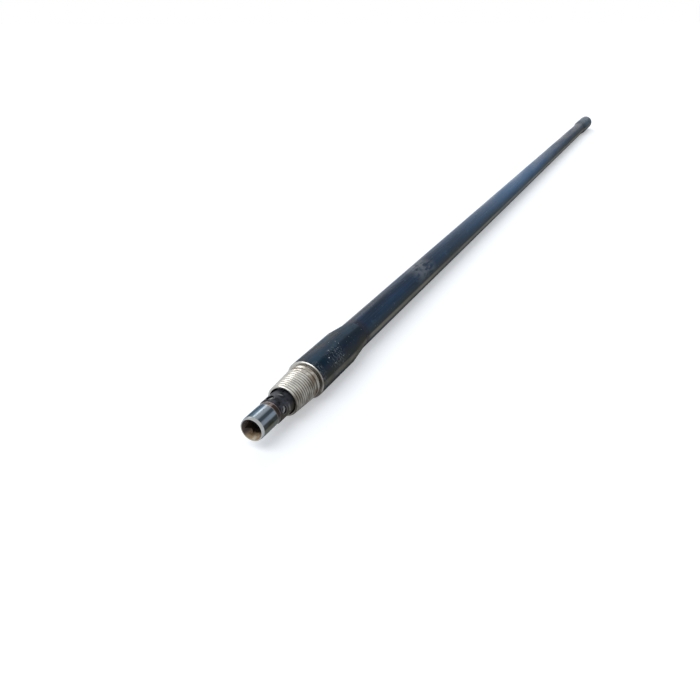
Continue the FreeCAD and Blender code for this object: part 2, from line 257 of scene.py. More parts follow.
# How squarely a place on the rod lies towards an angle, which is 0 on top and grows to the front
def side(tree, degrees, low, high):
    outward = add(tree, "VectorMath", {0: outFromAxis(tree)}, operation="NORMALIZE")
    angle = math.radians(degrees)
    facing = add(tree, "VectorMath", {0: outward.outputs[0], 1: (0, -math.sin(angle), math.cos(angle))},
                 operation="DOT_PRODUCT")
    return fade(tree, facing.outputs["Value"], low, high)


# Distance from the rod's axis in millimetres
def fromAxis(tree):
    length = add(tree, "VectorMath", {0: outFromAxis(tree)}, operation="LENGTH")
    return times(tree, length.outputs["Value"], 1 / mm)


# Distance from the axis of the nearest port in millimetres
def fromPort(tree):
    turned = add(tree, "Mapping", {"Vector": coordinates(tree), "Rotation": (-rod["driveTurn"], 0, 0),
                                   "Location": (-rod["portPlace"] * mm, 0, 0)})
    lengths = []
    for keep in ((1, 1, 0), (1, 0, 1)):
        across = add(tree, "VectorMath", {0: turned.outputs[0], 1: keep}, operation="MULTIPLY")
        lengths.append(add(tree, "VectorMath", {0: across.outputs[0]}, operation="LENGTH").outputs["Value"])
    return times(tree, calc(tree, "MINIMUM", *lengths), 1 / mm)


# 1 between two places along the rod, fading at each end
def band(tree, start, end, soft):
    place = along(tree)
    rise = fade(tree, place, start - soft, start + soft)
    fall = fade(tree, place, end - soft, end + soft)
    return calc(tree, "SUBTRACT", rise, fall)


# The bump is its strength and its depth in millimetres
def finishMaterial(material, tree, shader, color, rough, height, bump):
    strength, depth = bump
    tree.links.new(color, shader.inputs["Base Color"])
    tree.links.new(rough, shader.inputs["Roughness"])
    relief = add(tree, "Bump", {"Height": height, "Strength": strength, "Distance": depth * mm})
    tree.links.new(relief.outputs[0], shader.inputs["Normal"])
    return material


# In each look a Noise is stretch, scale, detail and limits, a Side is an angle round the rod and
# limits, a Band is start, end and softness along the rod, and a Share is how strong a tone gets

# Blue-black tool joint: oiled scale, dusty scuffs by the shoulder, chips, painted highlight and dark
# reflection bands on top, a painted olive ground reflection and tan reflection line low on the front; the one
# at the box end is paler
jointLook = {
    "wornAndSheen": (0.085, 0.13, 0.17, 1),
    "dark": (0.004, 0.013, 0.022, 1),
    "blue": (0.01, 0.036, 0.062, 1),
    "purple": (0.014, 0.018, 0.034, 1),
    "groundReflection": (0.046, 0.045, 0.032, 1),
    "tan": (0.27, 0.24, 0.18, 1),
    "dust": (0.2, 0.21, 0.22, 1),
    "chip": (0.62, 0.62, 0.58, 1),
    "sheen": (0.72, 0.88, 1.0, 1),
    "cloudNoise": ((0.6, 1, 1), 42, 5),
    "patchNoise": ((0.5, 1, 1), 17, 4, 0.45, 0.62),
    "streakNoise": ((0.12, 1, 1), 300, 3),
    "scratchNoise": ((1.4, 0.6, 0.6), 430, 8, 0.48, 0.68),
    "grainNoise": ((1, 1, 1), 1400, 2, 0.3, 0.7),
    "chipNoise": ((1, 1, 1), 330, 2, 0.71, 0.735),
    "chipBand": (30, 85, 12),
    "chipSpread": (0.25, 1.0),  # away from the band and in it
    "dullSide": (112, 0.0, 0.9),
    # Painted olive reflection of the ground, low on the front
    "groundReflectionSide": (112, 0.35, 0.95),
    "groundReflectionNoise": ((0.3, 1, 1), 60, 4, 0.3, 0.55),
    "groundReflectionShare": 0.85,
    "purpleShare": 0.6,
    # A pale band along the top, a painted highlight
    "sheenBandSide": (16, 0.955, 0.998),
    "sheenBandShare": 0.3,
    # A painted dark reflection band on the upper front
    "paintedDarkSide": (38, 0.965, 0.995),
    "paintedDarkShare": 0.5,
    "palerFrom": (2790, 2880),
    "palerShare": 0.45,
    # A tan painted reflection line along the lower front
    "tanReflectionSide": (94, 0.975, 1.0),
    "tanReflectionSpread": (0.2, 0.5),
    "smudgeBand": (42, 78, 14),
    "smudgeSide": (52, 0.75, 1.0),
    "rubBand": (0, 14, 5),
    "rubSide": (66, 0.6, 0.95),
    "dustShare": 0.7,
    "rough": (0.24, 0.36),
    "dullRough": 0.4,
    "streakRough": 0.06,
    "grainHeight": 0.4,
    "bump": (0.25, 0.12),
}


def makeJointSteel():
    look = jointLook
    material, tree, shader = newMaterial("joint_steel", metallic=0.0, ior=1.1)
    shader.inputs["Specular Tint"].default_value = look["sheen"]
    cloud = noise(tree, *look["cloudNoise"])
    patch = noise(tree, *look["patchNoise"])
    streak = noise(tree, *look["streakNoise"])
    scratch = noise(tree, *look["scratchNoise"])
    grain = noise(tree, *look["grainNoise"])
    chip = times(tree, noise(tree, *look["chipNoise"]),
                 scaled(tree, band(tree, *look["chipBand"]), *look["chipSpread"]))
    dull = side(tree, *look["dullSide"])
    # Painted olive reflection of the ground, low on the front
    groundReflection = times(tree, side(tree, *look["groundReflectionSide"]), noise(tree, *look["groundReflectionNoise"]))
    color = mix(tree, cloud, look["dark"], look["blue"])
    color = laid(tree, color, patch, look["purpleShare"], look["purple"])
    # Painted highlight: the pale tone laid on a narrow band along the top
    color = laid(tree, color, side(tree, *look["sheenBandSide"]), look["sheenBandShare"], look["wornAndSheen"])
    # Painted dark reflection band on the upper front
    color = laid(tree, color, side(tree, *look["paintedDarkSide"]), look["paintedDarkShare"], look["dark"])
    color = laid(tree, color, groundReflection, look["groundReflectionShare"], look["groundReflection"])
    color = laid(tree, color, fade(tree, along(tree), *look["palerFrom"]), look["palerShare"], look["wornAndSheen"])
    # A tan painted reflection line along the lower front
    line = times(tree, side(tree, *look["tanReflectionSide"]), scaled(tree, cloud, *look["tanReflectionSpread"]))
    color = mix(tree, line, color, look["tan"])
    smudge = times(tree, band(tree, *look["smudgeBand"]), side(tree, *look["smudgeSide"]))
    rub = times(tree, band(tree, *look["rubBand"]), side(tree, *look["rubSide"]))
    dust = times(tree, larger(tree, smudge, rub), scratch)
    color = laid(tree, color, dust, look["dustShare"], look["dust"])
    color = mix(tree, chip, color, look["chip"])
    rough = plus(tree, scaled(tree, cloud, *look["rough"]), times(tree, dull, look["dullRough"]))
    rough = plus(tree, rough, times(tree, streak, look["streakRough"]))
    height = plus(tree, times(tree, grain, look["grainHeight"]), plus(tree, cloud, chip))
    return finishMaterial(material, tree, shader, color, rough, height, look["bump"])


# Blue drawn tube: lengthwise streaks, bluer half way along, a heat tint by each weld, the joint's painted
# olive ground reflection and tan reflection line low on the front, a dusty scuff on top
tubeLook = {
    "dark": (0.007, 0.015, 0.03, 1),
    "blue": (0.016, 0.038, 0.078, 1),
    "bluer": (0.06, 0.14, 0.26, 1),
    "pale": (0.045, 0.085, 0.13, 1),
    "groundReflection": (0.045, 0.052, 0.042, 1),
    "tint": (0.028, 0.022, 0.026, 1),
    "cloudNoise": ((0.12, 1, 1), 45, 5),
    "streakNoise": ((0.012, 1, 1), 420, 3),
    "grainNoise": ((0.3, 1, 1), 1200, 2, 0.3, 0.7),
    "rubNoise": ((0.35, 1, 1), 90, 5, 0.6, 0.7),
    "speckNoise": ((1, 1, 1), 300, 2, 0.71, 0.735),
    # Painted olive reflection of the ground, low on the front
    "groundReflectionSide": (110, 0.3, 0.95),
    "groundReflectionNoise": ((0.08, 1, 1), 60, 4, 0.25, 0.5),
    "groundReflectionShare": 0.75,
    "dullSide": (110, 0.0, 0.9),
    "bluerBand": (1000, 1850, 600),
    "bluerShare": 0.9,
    "streakShare": 0.22,
    "rubShare": 0.5,
    # A tan painted reflection line along the lower front
    "tanReflectionSide": (92, 0.975, 1.0),
    "tanReflectionSpread": (0.35, 0.7),
    "scuffBand": (440, 520, 30),
    "scuffSide": (15, 0.3, 0.9),
    "scuffNoise": ((0.3, 1, 1), 130, 5, 0.35, 0.6),
    "scuffShare": 0.55,
    "tintOnJoint": 8,  # how far the heat of a weld reaches each way
    "tintOnTube": 14,
    "tintSoft": 8,
    "tintShare": 0.6,
    "speckShare": 0.2,
    "rough": (0.22, 0.34),
    "dullRough": 0.4,
    "grainHeight": 0.3,
    "bump": (0.16, 0.1),
}


def makeTubeSteel():
    look = tubeLook
    material, tree, shader = newMaterial("tube_steel", metallic=0.0, ior=1.1)
    shader.inputs["Specular Tint"].default_value = jointLook["sheen"]
    cloud = noise(tree, *look["cloudNoise"])
    streak = noise(tree, *look["streakNoise"])
    grain = noise(tree, *look["grainNoise"])
    rub = noise(tree, *look["rubNoise"])
    speck = noise(tree, *look["speckNoise"])
    # Painted olive reflection of the ground, low on the front
    groundReflection = times(tree, side(tree, *look["groundReflectionSide"]), noise(tree, *look["groundReflectionNoise"]))
    dull = side(tree, *look["dullSide"])
    color = mix(tree, cloud, look["dark"], look["blue"])
    color = laid(tree, color, band(tree, *look["bluerBand"]), look["bluerShare"], look["bluer"])
    color = laid(tree, color, streak, look["streakShare"], look["pale"])
    color = laid(tree, color, rub, look["rubShare"], look["pale"])
    color = laid(tree, color, groundReflection, look["groundReflectionShare"], look["groundReflection"])
    # A tan painted reflection line along the lower front
    line = times(tree, side(tree, *look["tanReflectionSide"]), scaled(tree, cloud, *look["tanReflectionSpread"]))
    color = mix(tree, line, color, jointLook["tan"])
    scuff = times(tree, band(tree, *look["scuffBand"]), side(tree, *look["scuffSide"]))
    scuff = times(tree, scuff, noise(tree, *look["scuffNoise"]))
    color = laid(tree, color, scuff, look["scuffShare"], jointLook["dust"])
    firstWeld = band(tree, rod["tubeStart"] - look["tintOnJoint"], rod["tubeStart"] + look["tintOnTube"],
                     look["tintSoft"])
    secondWeld = band(tree, rod["tubeEnd"] - look["tintOnTube"], rod["tubeEnd"] + look["tintOnJoint"],
                      look["tintSoft"])
    color = laid(tree, color, larger(tree, firstWeld, secondWeld), look["tintShare"], look["tint"])
    color = laid(tree, color, speck, look["speckShare"], jointLook["chip"])
    rough = plus(tree, scaled(tree, cloud, *look["rough"]), times(tree, dull, look["dullRough"]))
    height = plus(tree, plus(tree, times(tree, grain, look["grainHeight"]), streak), speck)
    return finishMaterial(material, tree, shader, color, rough, height, look["bump"])


# Machined pin: pale, finely turned, stained by the shoulder, with painted shade low on the front, greyer
# painted shade along the top at the back, and grease with painted shade in the thread roots and the shoulder
# groove
pinLook = {
    "pale": (0.56, 0.55, 0.51, 1),
    "grey": (0.4, 0.39, 0.36, 1),
    "shade": (0.1, 0.086, 0.064, 1),
    "stain": (0.13, 0.09, 0.055, 1),
    # Grease with painted shade in the thread roots and the shoulder groove
    "greaseAndShade": (0.05, 0.042, 0.032, 1),
    "turnedNoise": ((4, 0.2, 0.2), 1500, 2, 0.3, 0.7),
    "cloudNoise": ((1, 1, 1), 70, 5),
    # Painted shade low on the front, and greyer painted shade along the top at the back
    "shadeSide": (125, -0.08, 0.55),
    "shadeSpread": (0.75, 1.0),
    "shadeShare": 0.85,
    "backShadeSide": (300, 0.55, 1.0),
    "backShadeShare": 0.7,
    "stainBand": (-19, -2, 3),
    "stainNoise": ((1, 1, 1), 90, 4, 0.4, 0.62),
    "stainShare": 0.6,
    "rootDepth": (0.3, 1.3),
    "rootBand": (-65.5, -15, 0.5),
    "rootSpread": (0.6, 0.9),  # on the lit side and on the shaded one
    "grooveBand": (-3.5, -0.1, 0.15),
    "grooveRadius": (26.7, 26.2),
    "grooveShare": 0.85,
    "rough": (0.3, 0.42),
    "bump": (0.2, 0.05),
}


def makePinSteel():
    look = pinLook
    material, tree, shader = newMaterial("pin_steel", metallic=1.0)
    turned = noise(tree, *look["turnedNoise"])
    cloud = noise(tree, *look["cloudNoise"])
    # Painted shade low on the front, made patchy by the cloud
    shade = times(tree, side(tree, *look["shadeSide"]), scaled(tree, cloud, *look["shadeSpread"]))
    # Painted shade: greyer along the top at the back
    back = times(tree, side(tree, *look["backShadeSide"]), look["backShadeShare"])
    stain = times(tree, band(tree, *look["stainBand"]), noise(tree, *look["stainNoise"]))
    crestAtShoulder = thread["faceRadius"] + thread["pinLength"] * thread["slope"]
    crest = calc(tree, "MULTIPLY_ADD", along(tree), thread["slope"])
    crest.node.inputs[2].default_value = crestAtShoulder
    depth = calc(tree, "SUBTRACT", crest, fromAxis(tree))
    # Grease with painted shade in the thread roots, darker deeper down and on the shaded side
    root = times(tree, fade(tree, depth, *look["rootDepth"]), band(tree, *look["rootBand"]))
    root = times(tree, root, scaled(tree, shade, *look["rootSpread"]))
    # Painted shadow in the shoulder groove
    groove = times(tree, band(tree, *look["grooveBand"]), fade(tree, fromAxis(tree), *look["grooveRadius"]))
    root = larger(tree, root, times(tree, groove, look["grooveShare"]))
    color = mix(tree, larger(tree, cloud, back), look["pale"], look["grey"])
    color = laid(tree, color, shade, look["shadeShare"], look["shade"])
    color = laid(tree, color, stain, look["stainShare"], look["stain"])
    color = mix(tree, root, color, look["greaseAndShade"])
    rough = scaled(tree, cloud, *look["rough"])
    return finishMaterial(material, tree, shader, color, rough, turned, look["bump"])


# Bright nose of the drive rod: bluish, polished in soft bands along it, with a pale rim and lip, painted
# highlights on top, painted shade along the top at the back, and painted olive and gold reflections on the
# front
noseLook = {
    "light": (0.25, 0.31, 0.38, 1),
    "dark": (0.04, 0.053, 0.066, 1),
    "edge": (0.5, 0.56, 0.62, 1),
    "oliveReflection": (0.026, 0.025, 0.016, 1),
    "gold": (0.2, 0.18, 0.12, 1),
    "rim": (0.37, 0.385, 0.38, 1),
    "lip": (0.44, 0.41, 0.33, 1),
    "glint": (0.42, 0.48, 0.54, 1),
    "polishNoise": ((0.02, 1, 1), 75, 2, 0.38, 0.62),
    "cloudNoise": ((0.6, 1, 1), 130, 4),
    "cloudShare": 0.2,
    "turnedNoise": ((4, 0.2, 0.2), 1700, 2, 0.3, 0.7),
    # Painted shade along the top at the back
    "paintedDarkSide": (342, 0.8, 0.96),
    "paintedDarkShare": 0.9,
    # Painted highlight bands on top and on the upper front
    "glintSide": (14, 0.95, 1.0),
    "glintShare": 0.5,
    "highlightSide": (54, 0.975, 1.0),
    "highlightShare": 0.45,
    # Painted olive and gold reflections on the front
    "oliveReflectionSide": (80, 0.93, 0.99),
    "oliveReflectionSpread": (0.7, 1.0),
    "goldReflectionSide": (108, 0.9, 0.98),
    "goldReflectionShare": 0.7,
    "rimBand": (-146, -140.6, 0.5),
    "lipBand": (-146, -144.55, 0.1),
    "lipSide": (205, 0.0, 0.6),
    "rough": (0.18, 0.28),
    "bump": (0.12, 0.04),
}


def makeNoseSteel():
    look = noseLook
    material, tree, shader = newMaterial("nose_steel", metallic=1.0)
    shader.inputs["Specular Tint"].default_value = look["edge"]
    polish = noise(tree, *look["polishNoise"])
    cloud = noise(tree, *look["cloudNoise"])
    turned = noise(tree, *look["turnedNoise"])
    color = mix(tree, polish, look["dark"], look["light"])
    color = laid(tree, color, cloud, look["cloudShare"], look["dark"])
    # Painted shade along the top at the back
    color = laid(tree, color, side(tree, *look["paintedDarkSide"]), look["paintedDarkShare"], look["dark"])
    # Painted highlight glint on top
    color = laid(tree, color, side(tree, *look["glintSide"]), look["glintShare"], look["glint"])
    # A second painted highlight band on the upper front
    color = laid(tree, color, side(tree, *look["highlightSide"]), look["highlightShare"], look["light"])
    # Painted olive reflection on the front
    oliveReflection = times(tree, side(tree, *look["oliveReflectionSide"]), scaled(tree, cloud, *look["oliveReflectionSpread"]))
    color = mix(tree, oliveReflection, color, look["oliveReflection"])
    # Painted gold reflection on the lower front
    color = laid(tree, color, side(tree, *look["goldReflectionSide"]), look["goldReflectionShare"], look["gold"])
    color = mix(tree, band(tree, *look["rimBand"]), color, look["rim"])
    lip = times(tree, band(tree, *look["lipBand"]), side(tree, *look["lipSide"]))
    color = mix(tree, lip, color, look["lip"])
    rough = scaled(tree, cloud, *look["rough"])
    return finishMaterial(material, tree, shader, color, rough, turned, look["bump"])


# Inside of the nose: a golden cone in painted light low down, with a painted highlight spot, and in painted
# shade elsewhere;
# behind it near-black greased flats darkened as painted shade, with a painted lit patch low at the mouth
insideLook = {
    "gold": (0.78, 0.6, 0.38, 1),
    "tan": (0.5, 0.36, 0.22, 1),
    "cream": (0.95, 0.86, 0.68, 1),
    "shade": (0.16, 0.13, 0.115, 1),
    "greaseAndShade": (0.02, 0.015, 0.011, 1),
    "brown": (0.06, 0.043, 0.028, 1),
    "metallic": 0.35,
    "coneNoise": ((0.6, 1, 1), 140, 4),
    # A painted highlight spot, then painted light low down with painted shade elsewhere
    "highlightSpotSide": (176, 0.982, 0.998),
    "highlightSpotBand": (-143.5, -137, 1.5),
    "litSide": (168, 0.3, 0.85),
    "coneRough": (0.26, 0.4),
    "coneBump": (0.15, 0.08),
    "flatNoise": ((0.4, 1, 1), 110, 4),
    "markNoise": ((0.05, 1, 1), 900, 2),
    # A painted lit patch on the flats, low at the mouth
    "litPatchSide": (166, 0.7, 0.92),
    "litPatchBand": (-146, -130, 2.5),
    "flatRough": (0.3, 0.5),
    "flatBump": (0.2, 0.06),
}


def makeLeadSteel():
    look = insideLook
    material, tree, shader = newMaterial("lead_steel", look["metallic"])
    smear = noise(tree, *look["coneNoise"])
    color = mix(tree, smear, look["tan"], look["gold"])
    # Painted highlight spot low in the cone
    highlightSpot = times(tree, side(tree, *look["highlightSpotSide"]), band(tree, *look["highlightSpotBand"]))
    color = mix(tree, highlightSpot, color, look["cream"])
    # Painted light low down, painted shade elsewhere
    color = mix(tree, side(tree, *look["litSide"]), look["shade"], color)
    rough = scaled(tree, smear, *look["coneRough"])
    return finishMaterial(material, tree, shader, color, rough, smear, look["coneBump"])


def makeFlatSteel():
    look = insideLook
    material, tree, shader = newMaterial("flat_steel", look["metallic"])
    smear = noise(tree, *look["flatNoise"])
    marks = noise(tree, *look["markNoise"])
    # Near-black greased flats, darkened as painted shade deep in the mouth
    color = mix(tree, smear, look["greaseAndShade"], look["brown"])
    # Painted lit patch low down at the mouth
    litPatch = times(tree, side(tree, *look["litPatchSide"]), band(tree, *look["litPatchBand"]))
    color = mix(tree, litPatch, color, look["tan"])
    rough = scaled(tree, smear, *look["flatRough"])
    return finishMaterial(material, tree, shader, color, rough, marks, look["flatBump"])


# Weld seam: copper brown between two pale lines, in painted shade on top and low down, with a painted
# highlight glint between
seamLook = {
    "brown": (0.052, 0.033, 0.029, 1),
    "maroon": (0.028, 0.021, 0.023, 1),
    "line": (0.3, 0.26, 0.25, 1),
    "paintedShade": (0.012, 0.01, 0.01, 1),
    "glint": (0.46, 0.39, 0.37, 1),
    "cloudNoise": ((1, 1, 1), 120, 4),
    "rippleNoise": ((4, 0.3, 0.3), 1000, 2, 0.3, 0.7),
    "middleBand": (-106.1, -99.6, 0.5),
    # Painted shade low down and on the upper back
    "lowSide": (92, 0.2, 0.8),
    "topSide": (343, 0.9, 0.99),
    "paintedShadeShare": 0.65,
    "glintSide": (17, 0.988, 1.0),
    "glintShare": 0.35,
    "rough": (0.26, 0.38),
    "bump": (0.25, 0.06),
}


def makeSeamSteel():
    look = seamLook
    material, tree, shader = newMaterial("seam_steel", metallic=1.0)
    cloud = noise(tree, *look["cloudNoise"])
    ripple = noise(tree, *look["rippleNoise"])
    color = mix(tree, cloud, look["brown"], look["maroon"])
    color = mix(tree, band(tree, *look["middleBand"]), look["line"], color)
    # Painted shade on the upper back and low down
    shadedSides = larger(tree, side(tree, *look["lowSide"]), side(tree, *look["topSide"]))
    color = laid(tree, color, shadedSides, look["paintedShadeShare"], look["paintedShade"])
    # Painted highlight glint
    color = laid(tree, color, side(tree, *look["glintSide"]), look["glintShare"], look["glint"])
    rough = scaled(tree, cloud, *look["rough"])
    return finishMaterial(material, tree, shader, color, rough, ripple, look["bump"])


# Black collar: greasy and blotched, worn on the land near the pipe and round the ports, with painted shade in
# the port walls;
# bare steel inside, painted pale as if lit
collarLook = {
    # Bare steel of the bore painted pale as if lit, and painted shade of the port walls
    "litBare": (0.76, 0.77, 0.75, 1),
    "paintedShade": (0.004, 0.004, 0.005, 1),
    "black": (0.008, 0.009, 0.011, 1),
    "slate": (0.05, 0.052, 0.062, 1),
    "brown": (0.06, 0.05, 0.038, 1),
    "wornAndSheen": (0.3, 0.3, 0.29, 1),
    "cloudNoise": ((1, 1, 1), 105, 5),
    "blobNoise": ((1, 1, 1), 480, 3, 0.5, 0.68),
    "wornNoise": ((0.5, 1, 1), 95, 4, 0.42, 0.66),
    "brownSide": (118, 0.5, 1.0),
    "landBand": (-79.2, -75.5, 0.8),
    "landShare": 0.85,
    "mouthRadius": (7.4, 6.2),  # from a port's axis; the next two are from the rod's
    "mouthShare": 0.55,
    "portRadius": (18.7, 17.6),
    "portBand": (-96, -83, 0.5),
    "boreRadius": (16.4, 15.2),
    "rough": (0.24, 0.46),
    "dullSide": (118, 0.3, 1.0),
    "dullRough": 0.3,
    "bump": (0.35, 0.2),
}


def makeCollarSteel():
    look = collarLook
    material, tree, shader = newMaterial("collar_steel", metallic=0.1, ior=1.15)
    cloud = noise(tree, *look["cloudNoise"])
    blob = noise(tree, *look["blobNoise"])
    wornAndSheen = noise(tree, *look["wornNoise"])
    color = mix(tree, cloud, look["black"], look["slate"])
    color = mix(tree, side(tree, *look["brownSide"]), color, look["brown"])
    land = times(tree, band(tree, *look["landBand"]), wornAndSheen)
    color = laid(tree, color, land, look["landShare"], look["wornAndSheen"])
    mouth = times(tree, fade(tree, fromPort(tree), *look["mouthRadius"]), wornAndSheen)
    color = laid(tree, color, mouth, look["mouthShare"], look["wornAndSheen"])
    # Painted shade in the port walls
    inPort = times(tree, fade(tree, fromAxis(tree), *look["portRadius"]), band(tree, *look["portBand"]))
    color = mix(tree, inPort, color, look["paintedShade"])
    # Bare steel inside the bore, painted pale as if lit
    color = mix(tree, fade(tree, fromAxis(tree), *look["boreRadius"]), color, look["litBare"])
    dull = times(tree, side(tree, *look["dullSide"]), look["dullRough"])
    rough = plus(tree, scaled(tree, cloud, *look["rough"]), dull)
    height = plus(tree, blob, cloud)
    return finishMaterial(material, tree, shader, color, rough, height, look["bump"])


# Steel and bronze of the pieces inside: two tones and fine tool marks, each with its own stretch
innerLook = {
    "cloudNoise": ((1, 1, 1), 80, 4),
    "markNoise": (900, 2, 0.3, 0.7),
    "bump": (0.2, 0.06),
    "metals": {
        "bar_steel": {"dark": (0.16, 0.15, 0.14, 1), "light": (0.27, 0.26, 0.25, 1),
                      "rough": (0.34, 0.48), "stretch": (0.05, 1, 1)},
        "end_steel": {"dark": (0.34, 0.35, 0.36, 1), "light": (0.5, 0.5, 0.5, 1),
                      "rough": (0.24, 0.38), "stretch": (0.2, 1, 1)},
        "spring_steel": {"dark": (0.06, 0.06, 0.07, 1), "light": (0.12, 0.12, 0.13, 1),
                         "rough": (0.32, 0.46), "stretch": (3, 1, 1)},
        "bronze": {"dark": (0.4, 0.26, 0.12, 1), "light": (0.55, 0.39, 0.2, 1),
                   "rough": (0.28, 0.42), "stretch": (4, 0.5, 0.5)},
    },
}


def makeInnerMetal(name, metal):
    material, tree, shader = newMaterial(name, metallic=1.0)
    cloud = noise(tree, *innerLook["cloudNoise"])
    marks = noise(tree, metal["stretch"], *innerLook["markNoise"])
    color = mix(tree, cloud, metal["dark"], metal["light"])
    rough = scaled(tree, cloud, *metal["rough"])
    return finishMaterial(material, tree, shader, color, rough, marks, innerLook["bump"])


jointSteel = makeJointSteel()
tubeSteel = makeTubeSteel()
pinSteel = makePinSteel()
noseSteel = makeNoseSteel()
leadSteel = makeLeadSteel()
flatSteel = makeFlatSteel()
seamSteel = makeSeamSteel()
collarSteel = makeCollarSteel()
innerMetals = {name: makeInnerMetal(name, metal) for name, metal in innerLook["metals"].items()}
print("materials ready")


# Cut the mesh by a plane across the rod, and clear what lies beyond it if asked
def cutSquare(bm, place, normal, clear):
    bmesh.ops.bisect_plane(bm, geom=bm.verts[:] + bm.edges[:] + bm.faces[:], dist=near["cut"],
                           plane_co=(place * mm, 0, 0), plane_no=normal, clear_outer=clear)


# One turn is spun, repeated along the rod, tapered and cut off square at both ends
def addThread(bm, start, end, grow):
    pitch = thread["pitch"]
    halfRoot = thread["rootFlat"] / 2
    halfTop = halfRoot + thread["depth"] * math.tan(thread["flank"])
    first = thread["firstRoot"] - thread["pinLength"]
    lead = first - (math.ceil((first - start) / pitch) + 2) * pitch
    turns = math.ceil((end - start) / pitch) + 4
    outline = [
        (-pitch / 2, 0),
        (-halfTop, 0),
        (-halfRoot, -thread["depth"]),
        (halfRoot, -thread["depth"]),
        (halfTop, 0),
        (pitch / 2, 0),
    ]
    points = [(lead + x, thread["faceRadius"] + grow + r) for x, r in softened(outline, thread["softEdge"])]
    oneTurn = bmesh.new()
    bmesh.ops.spin(oneTurn, geom=addOutline(oneTurn, points), cent=(0, 0, 0), axis=(1, 0, 0), angle=math.tau,
                   steps=thread["segments"], dvec=(pitch * mm / thread["segments"], 0, 0))
    mesh = makeMesh(oneTurn)
    for number in range(turns):
        bm.from_mesh(mesh)
        mesh.transform(Matrix.Translation((pitch * mm, 0, 0)))
    bpy.data.meshes.remove(mesh)
    mergeDoubles(bm, near["threadDoubles"])
    for vert in bm.verts:
        radius = radiusOf(vert.co)
        vert.co.yz = vert.co.yz * (radius + (vert.co.x / mm + thread["pinLength"]) * thread["slope"]) / radius
    cutSquare(bm, start, (-1, 0, 0), True)
    cutSquare(bm, end, (1, 0, 0), True)


# Fill the flat ring between the two open loops in a plane across the rod
def closeRing(bm, place):
    edges = [edge for edge in bm.edges if edge.is_boundary
             and all(abs(vert.co.x - place * mm) < near["ring"] for vert in edge.verts)]
    bmesh.ops.triangle_fill(bm, edges=edges, use_beauty=True, normal=(1, 0, 0))


# Pin tool joint: its outline runs along the outside and back through the bore
pinJoint = {
    "noseChamfer": 1.0,
    "threadEnd": -15.6,
    "outside": [(-15.6, 25.5), (-10.6, 25.5), (-10.6, 27.0), (-3.6, 27.0), (-3.6, 25.8), (0, 25.8), (0, 29.6),
                (1.4, 31), (116, 31), (160, 26), (rod["tubeStart"], 26)],
    "inside": [(rod["tubeStart"], 17), (-11.4, 17), (-11.4, 20.75), (-65.3, 20.75), (-66, 21.45)],
    "softEdge": 0.25,
    "brightUpTo": 1.2,
    "sharpAngle": math.radians(28),
    "segments": 128,
}


def makePinJoint():
    bm = bmesh.new()
    face = -thread["pinLength"]
    chamfer = pinJoint["noseChamfer"]
    addThread(bm, face, pinJoint["threadEnd"], 0)
    cutSquare(bm, face + chamfer, (1, 0, 0), False)
    for vert in bm.verts:
        limit = thread["faceRadius"] - chamfer + vert.co.x / mm - face
        radius = radiusOf(vert.co)
        if radius > limit:
            vert.co.yz = vert.co.yz * limit / radius
    outline = softened(pinJoint["outside"] + pinJoint["inside"], pinJoint["softEdge"])
    turnOutline(bm, outline, pinJoint["segments"])
    closeRing(bm, face)
    closeRing(bm, pinJoint["threadEnd"])
    piece = finishPiece(bm, "pin_tool_joint_detail", "outer_pipe", "pin_tool_joint",
                        [jointSteel, pinSteel], pinJoint["sharpAngle"])
    for polygon in piece.data.polygons:
        polygon.material_index = int(polygon.center.x / mm < pinJoint["brightUpTo"])


makePinJoint()

# Box tool joint, from its face
boxJoint = {
    "threadStart": -70,
    "threadEnd": -15.6,
    "outside": [(-15.6, 27.5), (-0.7, 27.5), (0, 28.15), (0, 29.6), (-1.4, 31), (-200.1, 31), (-244.1, 26),
                (-250.1, 26)],
    "inside": [(-250.1, 19), (-246.1, 19), (-240.1, 20.75), (-70, 20.75), (-70, 22.0)],
    "softEdge": 0.25,
    "brightFrom": -1.2,
    "boredFrom": -71,
    "boredRadius": 28.6,
    "sharpAngle": math.radians(28),
    "segments": 128,
}


def makeBoxJoint():
    bm = bmesh.new()
    addThread(bm, boxJoint["threadStart"], boxJoint["threadEnd"], thread["boxGap"])
    outline = softened(boxJoint["outside"] + boxJoint["inside"], boxJoint["softEdge"])
    turnOutline(bm, outline, boxJoint["segments"])
    closeRing(bm, boxJoint["threadStart"])
    closeRing(bm, boxJoint["threadEnd"])
    bmesh.ops.translate(bm, verts=bm.verts, vec=(rod["length"] * mm, 0, 0))
    piece = finishPiece(bm, "box_tool_joint_detail", "outer_pipe", "box_tool_joint",
                        [jointSteel, pinSteel], boxJoint["sharpAngle"])
    for polygon in piece.data.polygons:
        place = polygon.center.x / mm - rod["length"]
        bored = place > boxJoint["boredFrom"] and radiusOf(polygon.center) < boxJoint["boredRadius"]
        polygon.material_index = int(bored or place > boxJoint["brightFrom"])


makeBoxJoint()

# Tube
tube = {
    "outline": [(rod["tubeStart"], 19), (rod["tubeStart"], 26), (rod["tubeEnd"], 26), (rod["tubeEnd"], 19)],
    "sharpAngle": math.radians(30),
    "segments": 128,
}


def makeTube():
    bm = bmesh.new()
    turnOutline(bm, tube["outline"], tube["segments"], closed=True)
    finishPiece(bm, "outer_tube_detail", "outer_pipe", "outer_tube", [tubeSteel],
                tube["sharpAngle"])


makeTube()

